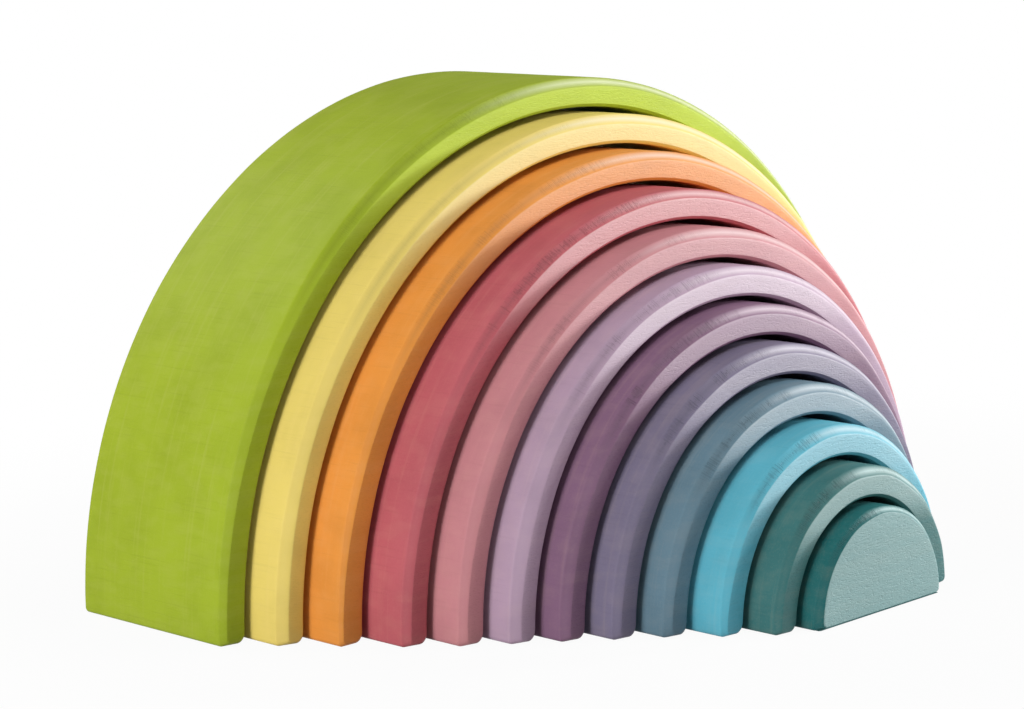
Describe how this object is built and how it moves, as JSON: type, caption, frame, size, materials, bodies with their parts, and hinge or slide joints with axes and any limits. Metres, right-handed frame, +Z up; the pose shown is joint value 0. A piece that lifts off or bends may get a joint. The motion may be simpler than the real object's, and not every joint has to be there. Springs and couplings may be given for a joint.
{
  "type": "rainbow stacker",
  "caption": "Nested set of stained wooden arches around a solid half-disc. The pieces slide out of each other along the floor and lift off for stacking.",
  "frame": {"origin": "on the floor, midway between the feet of the largest arch and midway between the front of the half-disc and the back of the largest arch", "axes": "+X to the right along the feet, +Y backwards along the arches' shared axis, +Z up. The smaller pieces stand towards -Y"},
  "size_m": [0.3656, 0.2252, 0.1843],
  "materials": {
    "lime_stain": "matte water stain, open grain",
    "yellow_stain": "matte water stain, open grain",
    "orange_stain": "matte water stain, open grain",
    "crimson_stain": "matte water stain, open grain",
    "pink_stain": "matte water stain, open grain",
    "lilac_stain": "matte water stain, open grain",
    "mauve_stain": "matte water stain, open grain",
    "slate_stain": "matte water stain, open grain",
    "steel_stain": "matte water stain, open grain",
    "turquoise_stain": "matte water stain, open grain",
    "sage_stain": "matte water stain, open grain",
    "teal_stain": "matte water stain, open grain"
  },
  "bodies": {
    "lime_arch": {"lime_arch": "lime_stain"},
    "yellow_arch": {"yellow_arch": "yellow_stain"},
    "orange_arch": {"orange_arch": "orange_stain"},
    "crimson_arch": {"crimson_arch": "crimson_stain"},
    "pink_arch": {"pink_arch": "pink_stain"},
    "lilac_arch": {"lilac_arch": "lilac_stain"},
    "mauve_arch": {"mauve_arch": "mauve_stain"},
    "slate_arch": {"slate_arch": "slate_stain"},
    "steel_arch": {"steel_arch": "steel_stain"},
    "turquoise_arch": {"turquoise_arch": "turquoise_stain"},
    "sage_arch": {"sage_arch": "sage_stain"},
    "teal_half_disc": {"teal_half_disc": "teal_stain"}
  },
  "joints": [
    {"name": "yellow_arch_slide", "type": "slide", "parent": "lime_arch", "child": "yellow_arch", "axis": [0, -1, 0], "range_m": [-0.0158, 0.0682]},
    {"name": "orange_arch_slide", "type": "slide", "parent": "lime_arch", "child": "orange_arch", "axis": [0, -1, 0], "range_m": [-0.0316, 0.0682]},
    {"name": "crimson_arch_slide", "type": "slide", "parent": "lime_arch", "child": "crimson_arch", "axis": [0, -1, 0], "range_m": [-0.05017, 0.06544]},
    {"name": "pink_arch_slide", "type": "slide", "parent": "lime_arch", "child": "pink_arch", "axis": [0, -1, 0], "range_m": [-0.06438, 0.06978]},
    {"name": "lilac_arch_slide", "type": "slide", "parent": "lime_arch", "child": "lilac_arch", "axis": [0, -1, 0], "range_m": [-0.07663, 0.07175]},
    {"name": "mauve_arch_slide", "type": "slide", "parent": "lime_arch", "child": "mauve_arch", "axis": [0, -1, 0], "range_m": [-0.08769, 0.07294]},
    {"name": "slate_arch_slide", "type": "slide", "parent": "lime_arch", "child": "slate_arch", "axis": [0, -1, 0], "range_m": [-0.09954, 0.07215]},
    {"name": "steel_arch_slide", "type": "slide", "parent": "lime_arch", "child": "steel_arch", "axis": [0, -1, 0], "range_m": [-0.11139, 0.07215]},
    {"name": "turquoise_arch_slide", "type": "slide", "parent": "lime_arch", "child": "turquoise_arch", "axis": [0, -1, 0], "range_m": [-0.12561, 0.06978]},
    {"name": "sage_arch_slide", "type": "slide", "parent": "lime_arch", "child": "sage_arch", "axis": [0, -1, 0], "range_m": [-0.13864, 0.07097]},
    {"name": "teal_half_disc_slide", "type": "slide", "parent": "lime_arch", "child": "teal_half_disc", "axis": [0, -1, 0], "range_m": [-0.14615, 0.0765]}
  ]
}
